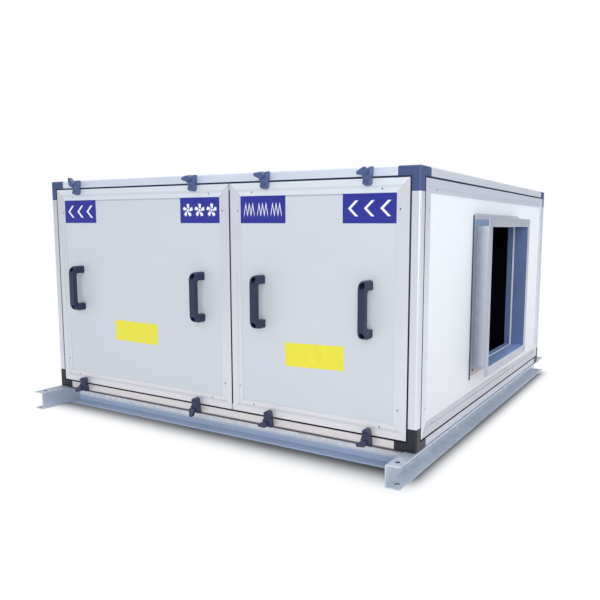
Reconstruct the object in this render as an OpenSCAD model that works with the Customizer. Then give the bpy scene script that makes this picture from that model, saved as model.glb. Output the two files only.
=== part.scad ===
// Air handling unit: a low casing of framed panels on channel rails, with a
// flanged duct collar at each end and two lift-off access panels in front.
// Origin: on the floor, under the middle of the casing. Front is -Y, inlet +X.

/* [Casing] */
// Length of the casing along the air path
casing_l = 1370; // [1240:10:1600]
// Depth of the casing from the access side to the back
casing_d = 1315; // [1100:5:1600]
// Height of the casing above its base rails
casing_h = 715; // [660:5:900]
// Thickness of every panel
panel_t = 25; // [20:1:28]
// Gap between a panel and the frame round it
seam = 4.5; // [3:0.5:6]
// Depth of the seal's face below the panel's face
seal_depth = 2.5; // [1:0.5:10]

/* [Frame] */
// Width of the edge profile
profile_w = 24; // [22:1:34]
// Wall of the edge profile
profile_wall = 2; // [1.5:0.5:4]
// Radius of the profile's outer edge
profile_r = 6; // [2:1:10]
// Length of a corner piece's arm from the corner
corner_arm = 62; // [45:1:80]
// Length of a corner piece's spigot inside the profile
spigot_l = 30; // [15:1:50]
// Clearance of the spigot in the profile
spigot_clear = 0.2; // [0.1:0.1:0.5]
// Width of the post behind the joint of two panels
mullion_w = 40; // [30:1:60]
// Depth of that post
mullion_d = 30; // [20:1:40]

/* [Panels] */
// Width of the left access panel
left_door_w = 752; // [620:1:800]
// Width of a panel's edge profile
border_w = 36; // [28:1:48]
// Width of the outer, higher strip of that profile
border_strip = 22; // [12:1:26]
// Step between its outer and inner strip
border_step = 1.5; // [1:0.5:3]
// Depth of the sheet below the outer strip
sheet_recess = 3; // [2:0.5:6]

/* [Handles] */
// Length of a handle
handle_l = 150; // [120:1:180]
// Width of a handle
handle_w = 20; // [16:1:26]
// Height of a handle above the sheet
handle_h = 46; // [40:1:65]
// Thickness of the grip
grip_t = 15; // [12:1:20]
// Length of a handle's foot
handle_foot = 24; // [20:1:30]
// Radius of a handle's outer corners
handle_r = 24; // [8:1:28]
// Radius of a handle's ends seen from the front
handle_end_r = 7; // [4:1:8]
// Diameter of a handle's screw
handle_screw_d = 6; // [5:0.5:8]
// Diameter of the screw's counterbore
handle_cbore_d = 15; // [10:0.5:16]
// Thickness left under the counterbore
handle_floor = 8; // [5:1:20]
// Distance of a handle from its panel's side
handle_inset = 109; // [80:1:140]

/* [Latches] */
// Width of a latch
latch_w = 25; // [20:1:30]
// Width of the nose's tip
latch_tip_w = 19; // [14:1:24]
// Radius of the tip's corners
latch_tip_r = 9; // [2:1:9]
// Reach of the nose over the panel's edge
latch_reach = 19; // [12:1:24]
// Length of the latch behind its stud
latch_tail = 12; // [10:1:16]
// Thickness of the latch
latch_t = 20; // [16:1:26]
// Depth of the notch between the two ears at the latch's tail
latch_notch = 5; // [2:0.5:8]
// Radius of that notch
latch_notch_r = 9; // [4:0.5:11]
// Radius of the shoulder in front of the ears
latch_shoulder_r = 12; // [6:1:16]
// Depth of the hollow between hub and nose
latch_valley = 5; // [4:1:12]
// Radius of that hollow
valley_r = 12; // [8:1:18]
// Diameter of the latch's stud
stud_d = 6; // [5:0.5:8]
// Clearance of the latch round its stud
stud_clear = 0.05; // [0.03:0.01:0.1]
// Clearance of the latch above frame and panel
latch_clear = 0.4; // [0.3:0.1:1]
// Length of the thumb lever from the stud
lever_l = 21; // [18:1:30]
// Width of the thumb lever at its tip
lever_w = 10; // [8:1:16]
// Thickness of the thumb lever
lever_t = 11; // [8:1:14]
// Diameter of the lever's hub
lever_hub_d = 18; // [14:1:24]
// Distance of the first and last upper latch from the panel's side
latch_inset_end = 112; // [80:1:140]
// Distance of the two upper latches beside the panels' joint
latch_inset_mid = 131; // [100:1:160]
// Distance of the first and last lower latch from the panel's side
low_inset_end = 107; // [80:1:140]
// Distance of the two lower latches beside the panels' joint
low_inset_mid = 136; // [100:1:160]

/* [Ducts] */
// Clear width and height of a duct opening
duct_w = 426; // [380:1:460]
// Sheet of the collar
collar_t = 2; // [1.5:0.5:4]
// Length of the collar outside the casing
collar_l = 45; // [35:1:80]
// Width of the collar's foot on the panel
foot_w = 37; // [32:1:50]
// Radius of the foot's outer corners
foot_r = 8; // [4:1:14]
// Width of the collar's outer flange
flange_w = 25; // [22:1:30]
// Thickness of the outer flange
flange_t = 4; // [3:0.5:6]
// Diameter of the flange's corner holes
flange_hole_d = 10; // [8:0.5:12]

/* [Base] */
// Height of the cross channels under the front and back
base_h = 54; // [40:1:80]
// Width of a channel's flange
channel_w = 40; // [35:1:50]
// Thickness of a channel
channel_t = 3; // [2:0.5:4]
// Radius of the bend inside a channel
bend_r = 1; // [0.5:0.5:5]
// Thickness of the foam strip between casing and cross channel
strip_t = 4; // [3:0.5:6]
// Setback of the foam strip behind the casing's face
strip_in = 2; // [1:0.5:6]
// Length of a rail past the casing at each end
rail_over = 101; // [80:1:140]
// Reach of a rail's flange past the casing's end
rail_out = 2; // [0:1:8]
// Setback of a cross channel behind the casing's face
cross_in = 11; // [8:1:25]
// Diameter of a hanger hole
hanger_d = 12; // [10:0.5:14]
// Distance of a hanger hole from the rail's end
hanger_in = 27; // [20:1:40]

/* [Filter] */
// Distance of the filter from the middle of the casing
filter_x = 350; // [200:10:420]
// Thickness of the filter
filter_t = 46; // [30:1:60]
// Width of the filter's frame
filter_rim = 25; // [20:1:40]
// Distance between two pleats
pleat = 40; // [30:1:60]
// Thickness of the pleated cloth
cloth_t = 4; // [3:0.5:6]

/* [Hidden] */
$fn = 48;
inset = profile_w + seam;
casing_z = base_h + strip_t;
wall = max(profile_w, panel_t);
open_l = casing_l - 2 * inset;
open_d = casing_d - 2 * inset;
open_h = casing_h - 2 * inset;
right_door_w = open_l - left_door_w - seam;
door_x = [-casing_l / 2 + inset, -casing_l / 2 + inset + left_door_w + seam];
door_w = [left_door_w, right_door_w];
joint_x = door_x[1] - seam / 2;
mid_h = casing_h / 2;
collar_out = duct_w + 2 * collar_t;
rail_x = casing_l / 2 + rail_out - channel_w;
rail_l = casing_d + 2 * rail_over;
rail_hole_x = rail_x + (channel_w + channel_t) / 2;
flange_out = collar_out + 2 * flange_w;
flange_hole = duct_w / 2 + collar_t + flange_w / 2;
function across(end, mid) = [door_x[0] + end, joint_x - mid, joint_x + mid,
                             door_x[1] + right_door_w - end];
latch_x = across(latch_inset_end, latch_inset_mid);
low_latch_x = across(low_inset_end, low_inset_mid);
stud_z = profile_w / 2;
latch_nose = stud_z + seam + latch_reach;
lever_up = [115, 180, 172, 195];
lever_down = [212, 258, 192, 200];
filter_w = casing_d - 2 * wall;
filter_h = casing_h - 2 * wall;
cloth_w = filter_w - 2 * filter_rim;
pleats = floor(cloth_w / pleat);
pitch = cloth_w / pleats;

// Turns Z into X, X into Y and Y into Z.
module along_x() {
    rotate([90, 0, 90]) children();
}

// Turns Z into Y, Y into X and X into Z.
module along_y() {
    along_x() along_x() children();
}

// A corner of the casing, seen from inside: children grow along +X, +Y, +Z.
module at_corner(sx, sy, sz) {
    translate([0, 0, casing_z + mid_h])
        mirror([sx > 0 ? 1 : 0, 0, 0])
            mirror([0, sy > 0 ? 1 : 0, 0])
                mirror([0, 0, sz > 0 ? 1 : 0])
                    translate([-casing_l / 2, -casing_d / 2, -mid_h])
                        children();
}

// The faces of the casing: X along the face, Y inwards, Z up the face.
module on_front() {
    translate([0, -casing_d / 2, casing_z]) children();
}

module on_back() {
    mirror([0, 1, 0]) on_front() children();
}

module on_inlet() {
    rotate([0, 0, 90]) translate([0, -casing_l / 2, casing_z]) children();
}

module on_outlet() {
    mirror([1, 0, 0]) on_inlet() children();
}

module on_top() {
    translate([0, -casing_d / 2, casing_z + casing_h]) rotate([-90, 0, 0]) children();
}

module on_bottom() {
    translate([0, casing_d / 2, casing_z]) rotate([90, 0, 0]) children();
}

// Outline of an edge profile, its rounded outer edge at the origin.
module edge_outline() {
    union() {
        translate([profile_r, 0]) square([profile_w - profile_r, profile_w]);
        translate([0, profile_r]) square([profile_w, profile_w - profile_r]);
        translate([profile_r, profile_r]) circle(profile_r);
    }
}

module edge_profile(l) {
    linear_extrude(l)
        difference() {
            edge_outline();
            translate([profile_wall, profile_wall])
                square(profile_w - 2 * profile_wall);
        }
}

// Arm of a corner piece with its spigot.
module corner_leg() {
    gap = profile_wall + spigot_clear;
    translate([0, 0, profile_w - 1])
        linear_extrude(corner_arm - profile_w + 1) edge_outline();
    translate([gap, gap, profile_w])
        cube([profile_w - 2 * gap, profile_w - 2 * gap, corner_arm - profile_w + spigot_l]);
}

module corner_piece() {
    union() {
        intersection() {
            linear_extrude(profile_w) edge_outline();
            along_x() linear_extrude(profile_w) edge_outline();
            along_y() linear_extrude(profile_w) edge_outline();
        }
        corner_leg();
        along_x() corner_leg();
        along_y() corner_leg();
    }
}

module length_profiles() {
    color("gainsboro")
        for (sy = [-1, 1], sz = [-1, 1])
            at_corner(-1, sy, sz)
                translate([corner_arm, 0, 0])
                    along_x() edge_profile(casing_l - 2 * corner_arm);
}

module depth_profiles() {
    color("gainsboro")
        for (sx = [-1, 1], sz = [-1, 1])
            at_corner(sx, -1, sz)
                translate([0, corner_arm, 0])
                    along_y() edge_profile(casing_d - 2 * corner_arm);
}

module upright_profiles() {
    color("gainsboro")
        for (sx = [-1, 1], sy = [-1, 1])
            at_corner(sx, sy, -1)
                translate([0, 0, corner_arm])
                    edge_profile(casing_h - 2 * corner_arm);
}

module top_corners() {
    color("darkslategray")
        for (sx = [-1, 1], sy = [-1, 1])
            at_corner(sx, sy, 1) corner_piece();
}

module bottom_corners() {
    color("darkslategray")
        for (sx = [-1, 1], sy = [-1, 1])
            at_corner(sx, sy, -1) corner_piece();
}

// Hollow post behind the joint between two panels.
module joint_post() {
    post_h = casing_h - 2 * wall;
    translate([joint_x - mullion_w / 2, panel_t, wall])
        difference() {
            cube([mullion_w, mullion_d, post_h]);
            translate([profile_wall, profile_wall, -1])
                cube([mullion_w - 2 * profile_wall, mullion_d - 2 * profile_wall, post_h + 2]);
        }
}

module front_post() {
    color("gainsboro") on_front() joint_post();
}

module back_post() {
    color("gainsboro") on_back() joint_post();
}

// Edge profile round a panel: a high outer strip and a lower inner strip.
module panel_border(w, h) {
    difference() {
        cube([w, panel_t, h]);
        translate([border_strip, -1, border_strip])
            cube([w - 2 * border_strip, border_step + 1, h - 2 * border_strip]);
        translate([border_w, -1, border_w])
            cube([w - 2 * border_w, panel_t + 2, h - 2 * border_w]);
    }
}

module panel_sheet(w, h) {
    translate([border_w, sheet_recess, border_w])
        cube([w - 2 * border_w, panel_t - sheet_recess, h - 2 * border_w]);
}

module door_border(i) {
    translate([door_x[i], 0, inset]) panel_border(door_w[i], open_h);
}

module door_sheet(i) {
    translate([door_x[i], 0, inset]) panel_sheet(door_w[i], open_h);
}

module left_door_border() {
    color("gainsboro") on_front() door_border(0);
}

module left_door_sheet() {
    color("lavender") on_front() door_sheet(0);
}

module right_door_border() {
    color("gainsboro") on_front() door_border(1);
}

module right_door_sheet() {
    color("lavender") on_front() door_sheet(1);
}

module back_borders() {
    color("gainsboro")
        on_back()
            for (i = [0, 1])
                door_border(i);
}

module back_sheets() {
    color("lavender")
        on_back()
            for (i = [0, 1])
                door_sheet(i);
}

module top_border() {
    color("gainsboro")
        on_top() translate([-open_l / 2, 0, inset]) panel_border(open_l, open_d);
}

module top_sheet() {
    color("lavender")
        on_top() translate([-open_l / 2, 0, inset]) panel_sheet(open_l, open_d);
}

module bottom_border() {
    color("gainsboro")
        on_bottom() translate([-open_l / 2, 0, inset]) panel_border(open_l, open_d);
}

module bottom_sheet() {
    color("lavender")
        on_bottom() translate([-open_l / 2, 0, inset]) panel_sheet(open_l, open_d);
}

module end_border() {
    translate([-open_d / 2, 0, inset]) panel_border(open_d, open_h);
}

module end_sheet() {
    difference() {
        translate([-open_d / 2, 0, inset]) panel_sheet(open_d, open_h);
        translate([-collar_out / 2, -1, mid_h - collar_out / 2])
            cube([collar_out, panel_t + 2, collar_out]);
    }
}

module inlet_border() {
    color("silver") on_inlet() end_border();
}

module inlet_sheet() {
    color("white") on_inlet() end_sheet();
}

module outlet_border() {
    color("silver") on_outlet() end_border();
}

module outlet_sheet() {
    color("white") on_outlet() end_sheet();
}

// Seal that fills the seams round a row of panels.
module seam_seal(w, h, cuts) {
    difference() {
        translate([-w / 2 - seam, seal_depth, profile_w])
            cube([w + 2 * seam, profile_w - seal_depth, h + 2 * seam]);
        for (c = cuts)
            translate([c[0], seal_depth - 1, inset])
                cube([c[1], profile_w - seal_depth + 2, h]);
    }
}

module door_seal() {
    seam_seal(open_l, open_h, [for (i = [0, 1]) [door_x[i], door_w[i]]]);
}

module front_seal() {
    color("black") on_front() door_seal();
}

module back_seal() {
    color("black") on_back() door_seal();
}

module roof_seals() {
    color("black") {
        on_top() seam_seal(open_l, open_d, [[-open_l / 2, open_l]]);
        on_bottom() seam_seal(open_l, open_d, [[-open_l / 2, open_l]]);
    }
}

module end_seals() {
    color("black") {
        on_inlet() seam_seal(open_d, open_h, [[-open_d / 2, open_d]]);
        on_outlet() seam_seal(open_d, open_h, [[-open_d / 2, open_d]]);
    }
}

// Rectangle with round corners about the origin.
module soft_rect(w, h, r) {
    union() {
        square([w - 2 * r, h], center = true);
        square([w, h - 2 * r], center = true);
        for (x = [-1, 1], y = [-1, 1])
            translate([x * (w / 2 - r), y * (h / 2 - r)]) circle(r);
    }
}

// Side of a bridge handle: depth along X, length along Y.
module handle_side() {
    window_l = handle_l - 2 * handle_foot;
    difference() {
        translate([handle_h, 0]) soft_rect(2 * handle_h, handle_l, handle_r);
        translate([handle_h, -handle_l]) square([2 * handle_h, 2 * handle_l]);
        translate([handle_h + grip_t, 0]) soft_rect(2 * handle_h, window_l, grip_t / 2);
    }
}

// Bridge handle: X across, Y inwards to its seat at 0, Z along it.
module handle() {
    screw_z = handle_l / 2 - handle_foot / 2;
    translate([0, -handle_h, 0])
        difference() {
            intersection() {
                translate([-handle_w / 2, 0, 0])
                    along_x() linear_extrude(handle_w) handle_side();
                translate([0, handle_h + 1, 0]) rotate([90, 0, 0])
                    linear_extrude(handle_h + 2) soft_rect(handle_w, handle_l, handle_end_r);
            }
            for (z = [-screw_z, screw_z])
                translate([0, 0, z]) rotate([-90, 0, 0]) {
                    translate([0, 0, -1])
                        cylinder(d = handle_cbore_d, h = handle_h - handle_floor + 1);
                    cylinder(d = handle_screw_d, h = handle_h + 1);
                }
        }
}

module door_handles(i) {
    on_front()
        for (x = [door_x[i] + handle_inset, door_x[i] + door_w[i] - handle_inset])
            translate([x, sheet_recess, mid_h]) handle();
}

module left_door_handles() {
    color("dimgray") door_handles(0);
}

module right_door_handles() {
    color("dimgray") door_handles(1);
}

// Side of a latch: depth along X from its back at 0, length along Y from its stud.
module latch_side() {
    valley_x = sqrt(valley_r * valley_r - pow(valley_r - latch_valley, 2));
    shoulder_y = latch_tail - latch_shoulder_r;
    intersection() {
        translate([-latch_t, -latch_nose]) square([latch_t, latch_nose + latch_tail]);
        difference() {
            union() {
                translate([-latch_t, -latch_nose + latch_t / 2])
                    square([latch_t, latch_nose - latch_t / 2 + shoulder_y]);
                translate([-latch_t / 2, -latch_nose]) square([latch_t / 2, latch_nose]);
                translate([-latch_t / 2, -latch_nose + latch_t / 2]) circle(latch_t / 2);
                translate([-latch_t + latch_shoulder_r, shoulder_y]) {
                    circle(latch_shoulder_r);
                    square([latch_t - latch_shoulder_r, latch_shoulder_r]);
                }
            }
            translate([-latch_t - valley_r + latch_valley, -lever_hub_d / 2 - valley_x])
                circle(valley_r);
        }
    }
}

// Front of a latch with its nose down, narrower towards the tip, and two ears at its tail.
module latch_front() {
    tip_y = -latch_nose + latch_tip_r;
    corner_x = latch_tip_w / 2 - latch_tip_r;
    difference() {
        union() {
            polygon([[-latch_w / 2, latch_tail], [latch_w / 2, latch_tail], [latch_w / 2, 0],
                     [latch_tip_w / 2, tip_y], [-latch_tip_w / 2, tip_y], [-latch_w / 2, 0]]);
            translate([-corner_x, -latch_nose]) square([2 * corner_x, 2 * latch_tip_r]);
            for (x = [-corner_x, corner_x])
                translate([x, tip_y]) circle(latch_tip_r);
        }
        translate([0, latch_tail - latch_notch + latch_notch_r]) circle(latch_notch_r);
    }
}

// Thumb lever with its hub, narrower towards the tip.
module lever_front() {
    tip_x = lever_l - lever_w / 2;
    union() {
        circle(d = lever_hub_d);
        polygon([[0, -lever_hub_d / 2], [tip_x, -lever_w / 2],
                 [tip_x, lever_w / 2], [0, lever_hub_d / 2]]);
        translate([tip_x, 0]) circle(d = lever_w);
    }
}

// Turn latch on its stud: Y inwards, nose along -Z, or +Z when flipped.
module latch(turn, flip) {
    translate([0, -latch_clear, 0])
        difference() {
            union() {
                mirror([0, 0, flip ? 1 : 0])
                    intersection() {
                        translate([-latch_w / 2, 0, 0])
                            along_x() linear_extrude(latch_w) latch_side();
                        translate([0, 1, 0]) rotate([90, 0, 0])
                            linear_extrude(latch_t + 2) latch_front();
                    }
                translate([0, -latch_t + 1, 0]) rotate([90, 0, 0])
                    linear_extrude(lever_t + 1) rotate([0, 0, turn]) lever_front();
            }
            translate([0, 1, 0]) rotate([90, 0, 0])
                cylinder(r = stud_d / 2 + stud_clear, h = latch_t + lever_t / 2 + 1);
        }
}

module top_latch(i) {
    color("dimgray")
        on_front() translate([latch_x[i], 0, casing_h - stud_z]) latch(lever_up[i], false);
}

module bottom_latch(i) {
    color("dimgray")
        on_front() translate([low_latch_x[i], 0, stud_z]) latch(lever_down[i], true);
}

module top_latch_1() { top_latch(0); }
module top_latch_2() { top_latch(1); }
module top_latch_3() { top_latch(2); }
module top_latch_4() { top_latch(3); }
module bottom_latch_1() { bottom_latch(0); }
module bottom_latch_2() { bottom_latch(1); }
module bottom_latch_3() { bottom_latch(2); }
module bottom_latch_4() { bottom_latch(3); }

// Studs that stand on the front frame and carry the latches.
module latch_studs() {
    color("silver")
        on_front()
            for (i = [0 : 3], p = [[latch_x[i], casing_h - stud_z], [low_latch_x[i], stud_z]])
                translate([p[0], 0, p[1]]) rotate([90, 0, 0])
                    cylinder(d = stud_d, h = latch_t + lever_t / 2 - 1);
}

// Square ring about the middle of an end: Y inwards.
module square_ring(out, hole, y, t) {
    difference() {
        translate([-out / 2, y, mid_h - out / 2]) cube([out, t, out]);
        translate([-hole / 2, y - 1, mid_h - hole / 2]) cube([hole, t + 2, hole]);
    }
}

// Collar that lines the opening, with a foot on the panel.
module collar() {
    foot_out = collar_out + 2 * foot_w;
    union() {
        square_ring(collar_out, duct_w, -collar_l, collar_l + panel_t);
        difference() {
            translate([0, sheet_recess, mid_h]) rotate([90, 0, 0])
                linear_extrude(collar_t) soft_rect(foot_out, foot_out, foot_r);
            translate([-duct_w / 2, sheet_recess - collar_t - 1, mid_h - duct_w / 2])
                cube([duct_w, collar_t + 2, duct_w]);
        }
    }
}

module flange() {
    difference() {
        square_ring(flange_out, collar_out, -collar_l, flange_t);
        for (x = [-flange_hole, flange_hole], z = [-flange_hole, flange_hole])
            translate([x, -collar_l - 1, mid_h + z]) rotate([-90, 0, 0])
                cylinder(d = flange_hole_d, h = flange_t + 2);
    }
}

module inlet_collar() {
    color("lightsteelblue") on_inlet() collar();
}

module inlet_flange() {
    color("lightsteelblue") on_inlet() flange();
}

module outlet_collar() {
    color("lightsteelblue") on_outlet() collar();
}

module outlet_flange() {
    color("lightsteelblue") on_outlet() flange();
}

// Folded channel section of height h: web at X = 0, flanges along +X.
module channel_section(h) {
    difference() {
        translate([channel_w, h / 2]) soft_rect(2 * channel_w, h, bend_r + channel_t);
        translate([channel_w, h / 2])
            soft_rect(2 * (channel_w - channel_t), h - 2 * channel_t, bend_r);
        translate([channel_w, -1]) square([channel_w + 1, h + 2]);
    }
}

module rail() {
    difference() {
        translate([rail_x, rail_l / 2, 0]) rotate([90, 0, 0])
            linear_extrude(rail_l) channel_section(casing_z);
        for (y = [-rail_l / 2 + hanger_in, rail_l / 2 - hanger_in])
            translate([rail_hole_x, y, -1]) cylinder(d = hanger_d, h = casing_z + 2);
    }
}

module right_rail() {
    color("lightsteelblue") rail();
}

module left_rail() {
    color("lightsteelblue") mirror([1, 0, 0]) rail();
}

// Cross channel between the rails' webs, open to the front.
module cross_channel() {
    translate([-rail_x, -casing_d / 2 + cross_in, 0])
        along_x() linear_extrude(2 * rail_x)
            translate([channel_w, 0]) mirror([1, 0]) channel_section(base_h);
}

module front_channel() {
    color("lightsteelblue") cross_channel();
}

module back_channel() {
    color("lightsteelblue") mirror([0, 1, 0]) cross_channel();
}

// Foam strips between the casing and the cross channels.
module base_strips() {
    color("black")
        for (y = [-casing_d / 2 + strip_in, casing_d / 2 - strip_in - profile_w])
            translate([-rail_x, y, base_h]) cube([2 * rail_x, profile_w, strip_t]);
}

module filter_frame() {
    color("silver")
        translate([filter_x, -filter_w / 2, casing_z + wall])
            difference() {
                cube([filter_t, filter_w, filter_h]);
                translate([-1, filter_rim, filter_rim])
                    cube([filter_t + 2, cloth_w, filter_h - 2 * filter_rim]);
            }
}

module filter_cloth() {
    near = [for (i = [0 : 2 * pleats]) [i % 2 == 0 ? 0 : filter_t - cloth_t, i * pitch / 2]];
    far = [for (i = [2 * pleats : -1 : 0]) [near[i][0] + cloth_t, near[i][1]]];
    color("whitesmoke")
        translate([filter_x, -cloth_w / 2, casing_z + wall + filter_rim])
            linear_extrude(filter_h - 2 * filter_rim) polygon(concat(near, far));
}

length_profiles();
depth_profiles();
upright_profiles();
top_corners();
bottom_corners();
front_post();
back_post();
left_door_border();
left_door_sheet();
right_door_border();
right_door_sheet();
back_borders();
back_sheets();
top_border();
top_sheet();
bottom_border();
bottom_sheet();
inlet_border();
inlet_sheet();
outlet_border();
outlet_sheet();
front_seal();
back_seal();
roof_seals();
end_seals();
left_door_handles();
right_door_handles();
latch_studs();
top_latch_1();
top_latch_2();
top_latch_3();
top_latch_4();
bottom_latch_1();
bottom_latch_2();
bottom_latch_3();
bottom_latch_4();
inlet_collar();
inlet_flange();
outlet_collar();
outlet_flange();
left_rail();
right_rail();
front_channel();
back_channel();
base_strips();
filter_frame();
filter_cloth();
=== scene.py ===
# %% [markdown]
# # An air handling unit, dressed for its picture
# The frame, panels, latches and rails come from the CAD model and stay where they are. This lesson
# gives each of them the finish of its real material, then adds what is too small for the CAD model:
# rivets, screw heads, mitre joints, films and sealant. The stage and the light come last. Lengths are in
# metres.

# %% Load the frame
import math

import bmesh
import bpy
from mathutils import Matrix, Vector


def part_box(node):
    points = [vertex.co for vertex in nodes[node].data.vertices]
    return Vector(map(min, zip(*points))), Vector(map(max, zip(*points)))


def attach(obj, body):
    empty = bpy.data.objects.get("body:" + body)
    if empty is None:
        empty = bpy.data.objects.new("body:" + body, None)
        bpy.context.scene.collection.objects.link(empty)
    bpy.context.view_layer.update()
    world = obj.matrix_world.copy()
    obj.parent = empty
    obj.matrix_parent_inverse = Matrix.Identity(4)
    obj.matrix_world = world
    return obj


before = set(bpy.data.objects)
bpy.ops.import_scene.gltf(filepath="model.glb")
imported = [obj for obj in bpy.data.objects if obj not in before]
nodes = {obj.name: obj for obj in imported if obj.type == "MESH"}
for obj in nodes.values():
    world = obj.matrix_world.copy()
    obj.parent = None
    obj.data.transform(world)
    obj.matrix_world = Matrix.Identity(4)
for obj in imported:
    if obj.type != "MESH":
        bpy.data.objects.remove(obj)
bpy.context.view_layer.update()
MM = 0.001

# %% [markdown]
# ## The camera
# The picture was taken from the right of the access panels and a little below the casing's top, so the
# panels and the inlet end show and the top does not. Place, turn and focal length were found by matching
# the casing's corners. The lens shift is the small offset that the picture's framing needs.

# %% Camera
IMAGE = 600
FOCAL_PIXELS = 634.3
CENTRE_PIXEL = (342.3, 306.5)
CAMERA_PLACE = Vector((1.283, -2.0845, 0.622))
CAMERA_TURN, CAMERA_DOWN, CAMERA_ROLL = (math.radians(a) for a in (29.69, 7.07, 0.31))

camera_data = bpy.data.cameras.new("camera")
camera_data.sensor_width = 36
camera_data.lens = camera_data.sensor_width * FOCAL_PIXELS / IMAGE
camera_data.shift_x = (IMAGE / 2 - CENTRE_PIXEL[0]) / IMAGE
camera_data.shift_y = (CENTRE_PIXEL[1] - IMAGE / 2) / IMAGE
camera = bpy.data.objects.new("camera", camera_data)
camera.matrix_world = (
    Matrix.Translation(CAMERA_PLACE)
    @ Matrix.Rotation(CAMERA_TURN, 4, "Z")
    @ Matrix.Rotation(math.pi / 2 - CAMERA_DOWN, 4, "X")
    @ Matrix.Rotation(CAMERA_ROLL, 4, "Z")
)
bpy.context.scene.collection.objects.link(camera)
bpy.context.scene.camera = camera
print("lens", round(camera_data.lens, 2), "mm")

# %% [markdown]
# ## Helpers for materials
# Colours are written as sRGB hex values and turned to linear once. One function adds a shader node,
# sets its options and fills its inputs with values or with links from other nodes. Another lays colours
# over each other where a mask says so.

# %% Colour and node helpers
MATH, VECTOR_MATH = "ShaderNodeMath", "ShaderNodeVectorMath"


def linear(hex_colour, shade=1.0):
    """Linear RGBA of an sRGB hex colour, times a shade."""
    channels = [int(hex_colour[i:i + 2], 16) / 255 for i in (1, 3, 5)]
    plain = [c / 12.92 if c <= 0.04045 else ((c + 0.055) / 1.055) ** 2.4 for c in channels]
    return [c * shade for c in plain] + [1.0]


def add(tree, kind, inputs=(), **settings):
    """Adds a node with its settings. Inputs come by name, or as a list in order. A socket is linked, a
    node is linked from its first output, and any other value is set."""
    made = tree.nodes.new(kind)
    for key, value in settings.items():
        setattr(made, key, value)
    named = inputs if isinstance(inputs, dict) else dict(enumerate(inputs))
    for key, value in named.items():
        if isinstance(value, bpy.types.Node):
            value = value.outputs[0]
        if isinstance(value, bpy.types.NodeSocket):
            tree.links.new(value, made.inputs[key])
        else:
            made.inputs[key].default_value = value
    return made


def new_material(name, **shader):
    """A material with one Principled shader: returns it, its tree, its shader and its coordinates."""
    material = bpy.data.materials.new(name)
    material.use_nodes = True
    tree = material.node_tree
    surface = tree.nodes["Principled BSDF"]
    for key, value in shader.items():
        surface.inputs[key.replace("_", " ")].default_value = value
    place = add(tree, "ShaderNodeTexCoord").outputs["Object"]
    return material, tree, surface, place


def dress(material, *names):
    """Gives CAD nodes a material."""
    for name in names:
        slots = nodes[name].data.materials
        slots.clear()
        slots.append(material)
    print(material.name, "on", ", ".join(names))


def layered(tree, place, shown, layers):
    """A colour socket with other colours laid over it where their masks are 1."""
    for mask, colour in layers:
        shown = add(tree, "ShaderNodeMixRGB", [mask(tree, place), shown, linear(colour)]).outputs[0]
    return shown


# %% [markdown]
# ## Places on the casing
# Some finishes change with their place. A mask is a function that adds nodes which compare a point with
# the casing's box, and it gives 1 where the finish changes and 0 elsewhere. The inside of the casing
# never sees light, so it is painted dark as painted shade. The walls that face each other across a seam
# are painted dark as painted shade, bluer on the upper half and darker on the lower. The bars near the
# floor are painted darker and warmer than the others, as painted shade, and a door's upper bars lighter,
# as painted light. A door's upper and lower bars carry the painted shade of a shallow groove, and a
# narrow painted shade lies below the upper one. Colours painted on the meshes could mark the same places,
# but the CAD meshes stay as they are.

# %% The casing's box
CORNERS = ("top_corners", "bottom_corners")
CASING_LOW = Vector([min(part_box(n)[0][i] for n in CORNERS) for i in range(3)])
CASING_HIGH = Vector([max(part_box(n)[1][i] for n in CORNERS) for i in range(3)])
CASING_MIDDLE = (CASING_LOW + CASING_HIGH) / 2
CASING_HALF = (CASING_HIGH - CASING_LOW) / 2
SKIN_DEPTH = 24.5 * MM
# Painted shade: the inside of the casing is painted this dark colour, since no light reaches it.
INNER_SHADE = "#12163a"
print("casing", [round(v, 3) for v in 2 * CASING_HALF])


def from_middle(tree, place):
    """Sockets for a point's way along X, Y and Z from the casing's middle."""
    local = add(tree, VECTOR_MATH, [place, CASING_MIDDLE], operation="SUBTRACT")
    return add(tree, "ShaderNodeSeparateXYZ", [local]).outputs


def depths(tree, place):
    """Nodes for a point's depth below the casing's end, front and top, or their opposites."""
    ways = [add(tree, MATH, [way], operation="ABSOLUTE") for way in from_middle(tree, place)]
    return [add(tree, MATH, [half, way], operation="SUBTRACT") for half, way in zip(CASING_HALF, ways)]


def inner_shade_mask(tree, place):
    """A mask that is 1 deeper than the panels' thickness inside the casing."""
    x, y, z = depths(tree, place)
    least = add(tree, MATH, [add(tree, MATH, [x, y], operation="MINIMUM"), z], operation="MINIMUM")
    return add(tree, MATH, [least, SKIN_DEPTH], operation="GREATER_THAN")


def lower_mask(tree, place):
    """A mask that is 1 on the lower half of the casing."""
    return add(tree, MATH, [from_middle(tree, place)[2], 0.0], operation="LESS_THAN")


def rise_mask(tree, place):
    """A mask that grows from 0 at the casing's foot to 1 at its top."""
    return add(tree, "ShaderNodeMapRange", {"Value": from_middle(tree, place)[2],
                                            "From Min": -CASING_HALF.z, "From Max": CASING_HALF.z})


def both(first, second):
    """A mask that is 1 where two masks are 1."""
    def mask(tree, place):
        return add(tree, MATH, [first(tree, place), second(tree, place)], operation="MULTIPLY")
    return mask


# %% Masks of the seams
PROFILE, INSET = 24 * MM, 28.5 * MM
EDGE_TOLERANCE = 0.3 * MM
# Painted shade in the seams: bluer on the upper half, darker on the lower.
SEAM_SHADE, LOW_SEAM_SHADE = "#36405f", "#2a2a30"


def seam_shade_mask(distance):
    """A mask that is 1 on walls at a distance below one of the casing's faces."""
    def mask(tree, place):
        x, y, z = (add(tree, MATH, [depth, distance, EDGE_TOLERANCE], operation="COMPARE")
                   for depth in depths(tree, place))
        return add(tree, MATH, [add(tree, MATH, [x, y], operation="MAXIMUM"), z], operation="MAXIMUM")
    return mask


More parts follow.
